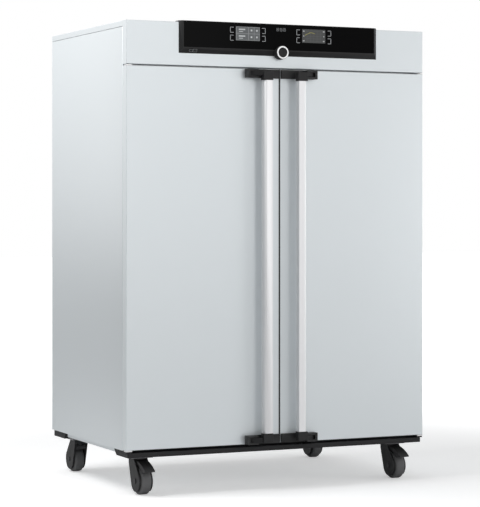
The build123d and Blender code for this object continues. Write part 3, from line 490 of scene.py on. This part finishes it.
rear = dressed("rear_panel", "rear_sheet", 0.4 * mm)
fitted(rear, textured_steel, "root", "outer_steel", "rear_panel")
rear_low, rear_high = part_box("rear_panel")
screw_edge = 9 * mm
screw_radius = 3.5 * mm
flange_middle = side_high.x - flange * 0.6
rear_places = []
for column in range(5):
    screw_x = (rear_low.x + screw_edge) * (1 - column / 2)
    for screw_z in (rear_low.z + screw_edge, rear_high.z - screw_edge):
        rear_places.append(Vector((screw_x, rear_high.y, screw_z)))
for share in (0.2, 0.4, 0.6, 0.8):
    screw_z = rear_low.z + (rear_high.z - rear_low.z) * share
    for side in (-1, 1):
        rear_places.append(Vector((side * flange_middle, side_high.y, screw_z)))
rear_screws = screws("rear_panel_screws", rear_places, (0, 1, 0), screw_radius)
fitted(rear_screws, bright_steel, "root", "bright_steel")

frame_rim = dressed("front_frame", "front_rim", 0.4 * mm)
brushed_steel = surface("satin_chamber_steel", (0.66, 0.67, 0.68), (0.58, 0.59, 0.60), 1.0, 0.34,
                        grain=700, depth=0.00003, spread=0.2, drift=6)
fitted(frame_rim, brushed_steel, "root", "chamber_steel", "front_frame")
pan = dressed("base_pan", "underframe", 0.5 * mm)
fitted(pan, textured_steel, "root", "outer_steel", "base_pan")


# Base rails: heavy steel beams across the front and the rear, powder coated black.
# Their end blocks reach in along the sides, and the casters are bolted under them.
# Its convex edges get a faint painted highlight.
black_coat = surface("black_powder_coat", (0.011, 0.011, 0.012), (0.008, 0.008, 0.009), 0.0, 0.55,
                     grain=1100, depth=0.00012, spread=0.2, drift=12, painted_edge_highlight=0.03, shine=0.22)
rails = dressed("base_rails", "base_beams", 2.5 * mm, 3)
fitted(rails, black_coat, "root", "black_steel", "base_rails")


# Casters: zinc plated plates bolted under the rails, moulded forks, grey rubber tyres on nylon hubs.
# A web joins the legs of each fork over the tyre. The front pair has a brake pedal that hooks over the wheel.
zinc = surface("zinc_plate", (0.30, 0.30, 0.31), (0.22, 0.22, 0.23), 0.9, 0.42,
               grain=500, depth=0.00003, spread=0.25, drift=25)
# The nylon and the rubber get a faint painted highlight on their convex edges.
nylon = surface("charcoal_nylon", (0.024, 0.024, 0.025), (0.018, 0.018, 0.019), 0.0, 0.55,
                grain=1600, depth=0.00008, spread=0.15, drift=30, painted_edge_highlight=0.03, shine=0.3)
rubber = surface("grey_rubber", (0.125, 0.125, 0.127), (0.105, 0.105, 0.107), 0.0, 0.72,
                 grain=1200, depth=0.00010, spread=0.12, drift=30, painted_edge_highlight=0.05)
plates = dressed("caster_plates", "caster_mounts", 1.0 * mm)
fitted(plates, zinc, "root", "caster_steel", "caster_plates")

tread_round = 7 * mm
side_round = 2 * mm
hub_lip = 1.2 * mm
hub_bore = 6.3 * mm
trail = 38
web_start = 18
web_length = 42
web_half = 20.4 * mm
web_room = 3.5 * mm
web_lowest = 92 * mm
web_top = 108.2 * mm
for end in ("front", "rear"):
    for side in ("left", "right"):
        place = f"{end}_{side}"
        body = place + "_caster"
        wheel = place + "_wheel"
        fork = dressed(place + "_fork", place + "_fork_moulding", 2.2 * mm, 3)
        fitted(fork, nylon, body, "caster_plastic", place + "_fork")
        low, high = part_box(place + "_tyre")
        centre = (low + high) / 2
        radius = (high.z - low.z) / 2
        half = (high.x - low.x) / 2
        hub_low, hub_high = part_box(place + "_hub")
        rim = (hub_high.z - hub_low.z) / 2
        profile = [(rim - 1 * mm, -half + side_round), (rim + side_round, -half)]
        for step in range(6):
            turn = math.radians(90 * step / 5)
            profile.append((radius - tread_round + tread_round * math.sin(turn),
                            -half + tread_round - tread_round * math.cos(turn)))
        profile += [(r, -reach) for r, reach in reversed(profile)]
        tyre = turned(place + "_tyre_ring", profile, centre, (1, 0, 0), 64, closed=True)
        fitted(tyre, rubber, wheel, "grey_tyre", place + "_tyre")
        hub_half = (hub_high.x - hub_low.x) / 2
        hub_profile = [(hub_bore, -hub_half), (12 * mm, -hub_half), (13 * mm, -hub_half + 4 * mm),
                       (rim - 6 * mm, -hub_half + 5 * mm), (rim - 4 * mm, -hub_half),
                       (rim, -hub_half + hub_lip)]
        hub_profile += [(r, -reach) for r, reach in reversed(hub_profile)]
        hub = turned(place + "_hub_disc", hub_profile, centre, (1, 0, 0), 48, closed=True)
        fitted(hub, nylon, wheel, "caster_plastic", place + "_hub")
        lean = 1 if end == "front" else -1
        swivel_y = centre.y + lean * trail * mm
        web_x = centre.x - web_half
        web = []
        for step in range(9):
            web_y = swivel_y + lean * (web_length * step / 8 - web_start) * mm
            over_tyre = max((radius + web_room) ** 2 - (web_y - centre.y) ** 2, 0)
            web.append((web_x, web_y, max(centre.z + math.sqrt(over_tyre), web_lowest)))
        web += [(web_x, web[-1][1], web_top), (web_x, web[0][1], web_top)]
        rib = drawn(place + "_fork_web", web, (2 * web_half, 0, 0))
        soften(rib, 0.5 * mm)
        fitted(rib, nylon, body, "caster_plastic")
for side in ("left", "right"):
    pedal = dressed(f"front_{side}_pedal", f"front_{side}_pedal_hood", 1.2 * mm, 3)
    fitted(pedal, nylon, f"front_{side}_pedal", "caster_plastic", f"front_{side}_pedal")


# Doors: a folded outer skin, a pressed inner panel with a raised plug and a hollow silicone gasket.
# The skins are plain from edge to edge, and small bright hinge blocks close their outer corners.
# A black lip on the right door fills the seam between the two, and black plates on the casing hold the pins.
silicone = surface("black_silicone", (0.030, 0.030, 0.031), (0.022, 0.022, 0.023), 0.0, 0.62,
                   grain=900, depth=0.00006, spread=0.15, drift=15)
for side in ("right", "left"):
    low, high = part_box(side + "_door_skin")
    body = side + "_door"
    skin = block(side + "_door_panel", low, high)
    bevel_where(skin, lambda middle, way: middle.y < low.y + 1e-5, 2.5 * mm, 5)
    hollow(skin, (0, 1, 0), sheet)
    soften(skin, 0.3 * mm)
    fitted(skin, textured_steel, body, "outer_steel", side + "_door_skin")
    inner = dressed(side + "_door_inner_panel", side + "_door_pressing", 1.5 * mm, 3)
    fitted(inner, brushed_steel, body, "chamber_steel", side + "_door_inner_panel")
    gasket = dressed(side + "_door_gasket", side + "_door_seal", 2.0 * mm, 3)
    fitted(gasket, silicone, body, "gasket_rubber", side + "_door_gasket")
    hinges = dressed(side + "_door_hinges", side + "_hinge_blocks", 0.6 * mm)
    fitted(hinges, bright_steel, body, "bright_steel", side + "_door_hinges")
pins = dressed("hinge_pins", "hinge_pins_and_plates", 0.4 * mm)
fitted(pins, black_coat, "root", "black_steel", "hinge_pins")

door_low, door_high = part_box("right_door_skin")
lip_front = door_low.y + 1.6 * mm
lip_back = lip_front + 12 * mm
lip_tip = 0.5 * mm - door_low.x
lip_root = door_low.x + 0.3 * mm
lip_base = door_low.z + 1.5 * mm
lip_outline = [(lip_root, lip_back), (lip_tip + 1 * mm, lip_back), (lip_tip, lip_back - 2 * mm),
               (lip_tip, lip_front + 1 * mm), (lip_tip + 1 * mm, lip_front), (lip_root, lip_front)]
lip_height = door_high.z - lip_base - 1.5 * mm
lip = drawn("door_seam_lip", [(x, y, lip_base) for x, y in lip_outline], (0, 0, lip_height))
soften(lip, 0.3 * mm)
fitted(lip, silicone, "right_door", "gasket_rubber")


# Door handles: an anodised aluminium extrusion with a flat front and a curved outer side.
# Black moulded ends carry it on upright pins between the cheeks of black brackets.
aluminium = surface("anodised_aluminium", (0.76, 0.76, 0.77), (0.74, 0.74, 0.75), 0.7, 0.42,
                    grain=1500, depth=0.00002, spread=0.08, drift=2)
# The black moulding gets a faint painted highlight on its convex edges.
moulding = surface("black_moulding", (0.012, 0.012, 0.0125), (0.009, 0.009, 0.0095), 0.0, 0.50,
                   grain=1500, depth=0.00008, spread=0.15, drift=25, painted_edge_highlight=0.02, shine=0.25)
bar_low, bar_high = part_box("right_handle_bar")
flat_width = 23 * mm
shoulder = 9.6 * mm
outline = [(bar_low.x, bar_high.y, bar_low.z), (bar_low.x, bar_low.y, bar_low.z)]
curve_x = bar_low.x + flat_width
curve_y = bar_high.y - shoulder
for step in range(13):
    turn = math.radians(90 * step / 12)
    outline.append((curve_x + (bar_high.x - curve_x) * math.sin(turn),
                    curve_y - (curve_y - bar_low.y) * math.cos(turn), bar_low.z))
outline.append((bar_high.x, bar_high.y, bar_low.z))
right_bar = drawn("right_grip_bar", outline, (0, 0, bar_high.z - bar_low.z))
soften(right_bar, 0.8 * mm, 3)
left_bar = mirror_left(right_bar, "left_grip_bar")
for side, bar in (("right", right_bar), ("left", left_bar)):
    fitted(bar, aluminium, side + "_handle", "handle_aluminium", side + "_handle_bar")
    ends = dressed(side + "_handle_ends", side + "_grip_ends", 1.6 * mm, 3)
    fitted(ends, moulding, side + "_handle", "black_plastic", side + "_handle_ends")
    brackets = dressed(side + "_handle_brackets", side + "_grip_brackets", 1.2 * mm, 3)
    fitted(brackets, moulding, side + "_door", "black_plastic", side + "_handle_brackets")


# Control panel: a bevelled black housing, a flush black glass and two small colour displays.
# All its marks are plain outlines and dots. A thin line runs round the push button and the port below.
panel_glass = surface("black_glass", (0.002, 0.002, 0.0022), (0.0015, 0.0015, 0.0017), 0.0, 0.12,
                      grain=60, depth=0.000002, spread=0.02, drift=2, shine=0.04)
housing = dressed("panel_housing", "panel_shell", 0.8 * mm, 3)
fitted(housing, moulding, "root", "black_plastic", "panel_housing")
glass_low, glass_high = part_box("panel_glass")
glass = block("panel_front_glass", glass_low, glass_high)
soften(glass, 0.6 * mm, 3)
fitted(glass, panel_glass, "root", "black_glass", "panel_glass")
print_y = glass_low.y - 0.1 * mm


def printed(name, shapes, colour):
    """Flat marks on the glass: each shape is a rectangle of x, z, width and height in millimetres."""
    marks = []
    for x, z, width, height in shapes:
        marks.append(block(name, ((x - width / 2) * mm, print_y, (z - height / 2) * mm),
                           ((x + width / 2) * mm, print_y + 0.15 * mm, (z + height / 2) * mm)))
    piece = joined(name, marks)
    material = surface(name, colour, colour, 0.0, 0.4, grain=300, depth=0.00001)
    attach(piece, "root")
    piece.data.materials.clear()
    piece.data.materials.append(material)
    return piece


def bracket_mark(x, z, way):
    """The outline of a touch key: an upright with a short arm above and below, open on one side."""
    tall, arm, line = 19, 13, 2.2
    arm_x = x + way * arm / 2
    return [(x, z, line, tall), (arm_x, z + tall / 2, arm, line), (arm_x, z - tall / 2, arm, line)]


key_marks = []
for x, way in ((-207, 1), (-65, -1), (65, 1), (208, -1)):
    for z in (1691, 1662):
        key_marks += bracket_mark(x, z, way)
printed("touch_key_marks", key_marks, (0.42, 0.43, 0.44))

icon_marks = []
for x in (-14, 0, 14):
    icon_marks += [(x - 4, 1698, 1.2, 11), (x + 4, 1698, 1.2, 11), (x, 1703, 8, 1.2), (x, 1693, 8, 1.2)]
icon_marks += [(-14, 1698, 3, 3), (0, 1698, 6, 1.2), (14, 1698, 1.2, 6)]
printed("panel_icons", icon_marks, (0.30, 0.31, 0.32))

display_low, display_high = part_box("display_windows")
display_middle = (display_low.z + display_high.z) / 2 / mm
left_x, right_x = -136, 136
printed("left_display_field", [(left_x, display_middle, 97, 50.5)], (0.30, 0.31, 0.315))
tiles = []
for row in (-1, 1):
    tiles.append((left_x - 22, display_middle + row * 12.2, 46, 22))
    for column in (14.5, 36.5):
        tiles.append((left_x + column, display_middle + row * 12.2, 20, 22))
print_y -= 0.1 * mm
printed("left_display_tiles", tiles, (0.14, 0.15, 0.155))
print_y -= 0.1 * mm
dots = []
for row in (-1, 1):
    dots.append((left_x - 24, display_middle + row * 12.2 + 3, 26, 5))
    dots.append((left_x - 28, display_middle + row * 12.2 - 5, 16, 2.5))
    for column in (14.5, 36.5):
        dots.append((left_x + column, display_middle + row * 12.2, 6.5, 6.5))
printed("left_display_marks", dots, (0.72, 0.74, 0.74))
print_y += 0.2 * mm
printed("right_display_field", [(right_x, display_middle, 97, 50.5)], (0.055, 0.057, 0.057))
print_y -= 0.1 * mm
grid = [(right_x, display_middle + row * 9, 70, 0.7) for row in range(-2, 3)]
grid += [(right_x + column * 14, display_middle, 0.7, 38) for column in range(-2, 3)]
printed("right_display_grid", grid, (0.11, 0.115, 0.115))
curve = [(right_x - 34 + step * 4.2, display_middle + 11 - 0.75 * abs(step - 5) ** 1.4 + step * 0.4, 4.4, 1.8)
         for step in range(10)]
printed("right_display_curve", curve, (0.50, 0.46, 0.10))
corners = [(right_x + dx, display_middle + dz, 7, 4) for dx in (-42, 42) for dz in (-18, 18)]
corners += [(right_x - 42, display_middle, 4, 4), (right_x + 42, display_middle, 4, 4)]
printed("right_display_marks", corners, (0.55, 0.57, 0.57))
print_y += 0.1 * mm


outline_line = 0.9
bevel_lean = math.radians(30.95)
bevel_y, bevel_z = -394.05, 1610.47
outline_marks = []
for mark_x, mark_width, mark_height in ((-346, 15, 11), (-361.5, 14, 7)):
    for dx, dz, width, height in ((-0.5, 0, 0, 1), (0.5, 0, 0, 1), (0, -0.5, 1, 0), (0, 0.5, 1, 0)):
        wide = max(width * mark_width, outline_line)
        high = max(height * mark_height, outline_line)
        mark = block("lower_bevel_outlines", (-wide / 2 * mm, -0.1 * mm, -high / 2 * mm),
                     (wide / 2 * mm, 0.1 * mm, high / 2 * mm))
        mark.data.transform(Matrix.Translation((dx * mark_width * mm, 0, dz * mark_height * mm)))
        mark.data.transform(Matrix.Rotation(bevel_lean, 4, "X"))
        mark.data.transform(Matrix.Translation((mark_x * mm, bevel_y * mm, bevel_z * mm)))
        outline_marks.append(mark)
outlines = joined("lower_bevel_outlines", outline_marks)
outlines.data.materials.clear()
outlines.data.materials.append(bpy.data.materials["panel_icons"])
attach(outlines, "root")


# Control knob: a black moulded knob with a bright turned ring round its face.
# It turns over a black collar that stands on the housing. The collar is partly a real part and partly stands
# in for the knob's soft shadow on the panel, a painted shadow.
knob_low, knob_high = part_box("control_knob")
knob_centre = (knob_low + knob_high) / 2
knob_radius = (knob_high.x - knob_low.x) / 2
knob_depth = knob_high.y - knob_low.y
front_face = (knob_centre.x, knob_low.y, knob_centre.z)
collar_back = -0.388
ring_outer = 23.8 * mm
ring_inner = 18.2 * mm
knob = turned("turning_knob", [(0, 1.2 * mm), (ring_inner - 1 * mm, 1.2 * mm), (ring_inner, 0.8 * mm),
                               (ring_inner, 2 * mm), (ring_outer, 2 * mm), (knob_radius, 3 * mm),
                               (knob_radius, knob_depth - 1 * mm), (knob_radius - 1 * mm, knob_depth),
                               (0, knob_depth)], front_face, (0, 1, 0), 72)
fitted(knob, moulding, "knob", "knob_black", "control_knob")
ring = turned("knob_ring", [(ring_inner, 2 * mm), (ring_inner, 0.6 * mm), (ring_inner + 0.6 * mm, 0),
                            (ring_outer - 1.2 * mm, 0), (ring_outer, 1 * mm), (ring_outer, 2 * mm)],
              front_face, (0, 1, 0), 72, closed=True)
fitted(ring, bright_steel, "knob", "bright_steel")
# The black collar is partly a painted shadow of the knob, showing below and to the left of it.
collar_and_shadow = turned("knob_collar_and_shadow", [(20 * mm, 0), (25.5 * mm, 0), (25.5 * mm, 12 * mm), (24.5 * mm, 13.2 * mm),
                                (20 * mm, 13.2 * mm)],
                (0, collar_back, knob_centre.z), (0, -1, 0), 72, closed=True)
fitted(collar_and_shadow, moulding, "root", "black_plastic")


# The chamber: a stainless liner with pressed shelf ribs, a slotted baffle and a fan behind it.
# An exhaust tube with a damper leaves through the rear, beside the mains gland.
# The two shelves are racks of drawn wire, welded to a thicker frame and slid onto the ribs.
for node, name, edge in (("chamber_liner", "chamber_shell", 0.8), ("fan_baffle", "rear_baffle", 0.6),
                         ("fan_impeller", "fan_wheel", 0.4), ("exhaust_pipe", "exhaust_tube", 0.4),
                         ("exhaust_flap", "exhaust_damper", 0.3)):
    piece = dressed(node, name, edge * mm, whole=node != "chamber_liner")
    body = {"fan_impeller": "fan", "exhaust_flap": "exhaust_flap"}.get(node, "root")
    fitted(piece, brushed_steel, body, "chamber_steel", node)
gland = dressed("mains_gland", "mains_inlet_gland", 0.6 * mm)
fitted(gland, moulding, "root", "black_plastic", "mains_gland")


def wire(name, points, radius, closed=False):
    """A round wire through the points, turned into a mesh."""
    data = bpy.data.curves.new(name, "CURVE")
    data.dimensions = "3D"
    data.bevel_depth = radius
    data.bevel_resolution = 3
    data.use_fill_caps = True
    spline = data.splines.new("POLY")
    spline.points.add(len(points) - 1)
    for point, place in zip(spline.points, points):
        point.co = (*place, 1)
    spline.use_cyclic_u = closed
    piece = bpy.data.objects.new(name, data)
    scene.collection.objects.link(piece)
    select_only(piece)
    bpy.ops.object.convert(target="MESH")
    return bpy.context.object


for shelf in ("upper_shelf", "lower_shelf"):
    low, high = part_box(shelf)
    frame_radius = (high.z - low.z) / 2
    wire_radius = 2 * mm
    mid_z = (low.z + high.z) / 2
    left, right = low.x + frame_radius, high.x - frame_radius
    near, far = low.y + frame_radius, high.y - frame_radius
    corner = 12 * mm
    loop = []
    for centre_x, centre_y, start in ((right - corner, far - corner, 0),
                                      (left + corner, far - corner, 90),
                                      (left + corner, near + corner, 180),
                                      (right - corner, near + corner, 270)):
        for step in range(5):
            turn = math.radians(start + 90 * step / 4)
            loop.append((centre_x + corner * math.cos(turn), centre_y + corner * math.sin(turn), mid_z))
    parts = [wire(shelf, loop, frame_radius, closed=True)]
    for index in range(16):
        x = left + (right - left) * (index + 1) / 17
        parts.append(wire(shelf, [(x, near, mid_z), (x, far, mid_z)], wire_radius))
    rack = joined(shelf + "_rack", parts)
    bpy.ops.object.shade_smooth_by_angle(angle=math.radians(35))
    fitted(rack, brushed_steel, shelf, "chamber_steel", shelf)


# What stays as the frame has it: hidden or plain solids, each with the finish of its real stock.
# They are the wool in the walls and doors, the board, the motor, the heaters, the sensor and the shafts.
wool = surface("mineral_wool", (0.52, 0.46, 0.30), (0.40, 0.35, 0.22), 0.0, 0.95,
               grain=260, depth=0.002, drift=40)
board = surface("circuit_board", (0.02, 0.16, 0.06), (0.015, 0.12, 0.05), 0.0, 0.35,
                grain=400, depth=0.0001, drift=60)
motor_paint = surface("motor_paint", (0.10, 0.10, 0.11), (0.07, 0.07, 0.08), 0.4, 0.5,
                      grain=700, depth=0.0001)
heater = surface("heater_strip", (0.30, 0.28, 0.26), (0.22, 0.20, 0.19), 0.7, 0.55,
                 grain=500, depth=0.0001)
display_black = surface("display_backing", (0.02, 0.02, 0.022), (0.015, 0.015, 0.017), 0.0, 0.3,
                        grain=300, depth=0.00001)
for node, material in (("cabinet_insulation", wool), ("left_door_insulation", wool),
                       ("right_door_insulation", wool), ("control_board", board), ("fan_motor", motor_paint),
                       ("heating_elements", heater), ("temperature_sensor", bright_steel),
                       ("display_windows", display_black), ("knob_shaft", bright_steel),
                       ("power_button", moulding)):
    for material_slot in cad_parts[node].material_slots:
        material_slot.link = "OBJECT"
        material_slot.material = material
